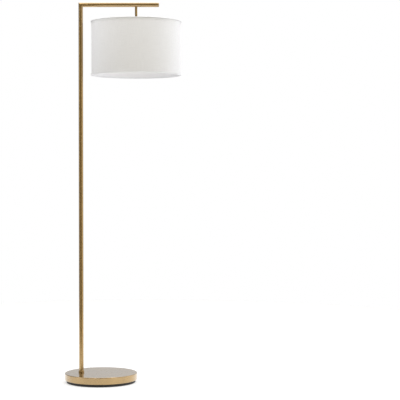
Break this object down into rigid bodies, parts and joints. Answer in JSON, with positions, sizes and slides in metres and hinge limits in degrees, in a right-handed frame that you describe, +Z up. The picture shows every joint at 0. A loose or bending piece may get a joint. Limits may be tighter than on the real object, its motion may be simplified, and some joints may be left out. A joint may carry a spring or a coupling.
{
  "type": "floor lamp",
  "caption": "Tall floor lamp: round weighted base, straight off-centre pole, square-cornered arm, and a white drum shade on a swivel stem under the arm.",
  "frame": {"origin": "on the floor, at the centre of the round base's underside", "axes": "+Z up; +X along the arm, from the pole towards the shade; +Y towards the lamp's back, where the supply enters"},
  "size_m": [0.4689, 0.363, 1.52],
  "materials": {
    "satin_brass": "satin antique plating",
    "contact_brass": "bright pressed sheet",
    "zinc_steel": "zinc plated",
    "cast_iron": "raw casting",
    "black_plastic": "fine moulded texture",
    "rubber": "matte",
    "white_plastic": "satin moulding",
    "lead_sheath": "smooth translucent sheath",
    "white_wire": "white powder coat",
    "liner": "smooth styrene sheet",
    "fabric": "fine plain weave",
    "bulb_metal": "nickel plated",
    "frosted_dome": "frosted, translucent"
  },
  "bodies": {
    "stand": {"base_pad": "black_plastic", "base_cover": "satin_brass", "base_weight": "cast_iron", "base_nipple": "zinc_steel", "base_washer": "zinc_steel", "base_nut": "zinc_steel", "cord_bushing": "black_plastic", "terminal_block": "white_plastic", "pad_screw_1": "zinc_steel", "pad_screw_2": "zinc_steel", "pad_screw_3": "zinc_steel", "foot_gasket": "rubber", "foot_collar": "satin_brass", "pole_lower": "satin_brass", "pole_middle": "satin_brass", "pole_upper": "satin_brass", "insert_lower": "zinc_steel", "insert_middle": "zinc_steel", "insert_upper": "zinc_steel", "insert_arm": "zinc_steel", "coupler_lower": "zinc_steel", "coupler_middle": "zinc_steel", "coupler_upper": "zinc_steel", "arm": "satin_brass", "arm_end_cap": "satin_brass", "swivel_cap": "zinc_steel", "swivel_seat": "zinc_steel", "lead_lower": "lead_sheath"},
    "stem": {"swivel_ball": "zinc_steel", "drop_stem": "satin_brass", "stem_nut": "zinc_steel", "lead_upper": "lead_sheath"},
    "shade_head": {"holder_cap": "satin_brass", "holder_body": "black_plastic", "screw_shell": "contact_brass", "centre_contact": "contact_brass", "switch_block": "black_plastic", "shade_ring": "black_plastic", "shade_hub": "white_wire", "spoke_1": "white_wire", "spoke_2": "white_wire", "spoke_3": "white_wire", "ring_top": "white_wire", "ring_bottom": "white_wire", "shade_liner": "liner", "shade_fabric": "fabric", "hem_top": "fabric", "hem_bottom": "fabric"},
    "knob": {"switch_spindle": "zinc_steel", "switch_knob": "black_plastic"},
    "bulb": {"bulb_cap": "bulb_metal", "bulb_insulator": "black_plastic", "bulb_contact": "bulb_metal", "bulb_housing": "white_plastic", "bulb_dome": "frosted_dome", "led_board": "white_plastic"}
  },
  "joints": [
    {"name": "shade_tilt", "type": "hinge", "parent": "stand", "child": "stem", "pos_m": [0.1424, 0, 1.511], "axis": [0, -1, 0], "range_deg": [-5, 15]},
    {"name": "shade_turn", "type": "hinge", "parent": "stem", "child": "shade_head", "pos_m": [0.1424, 0, 1.436], "axis": [0, 0, 1], "range_deg": [-165, 165]},
    {"name": "switch_turn", "type": "hinge", "parent": "shade_head", "child": "knob", "pos_m": [0.1424, 0, 1.4], "axis": [1, 0, 0], "continuous": true},
    {"name": "bulb_unscrew", "type": "slide", "parent": "shade_head", "child": "bulb", "axis": [0, 0, -1], "range_m": [0, 0.03]}
  ]
}
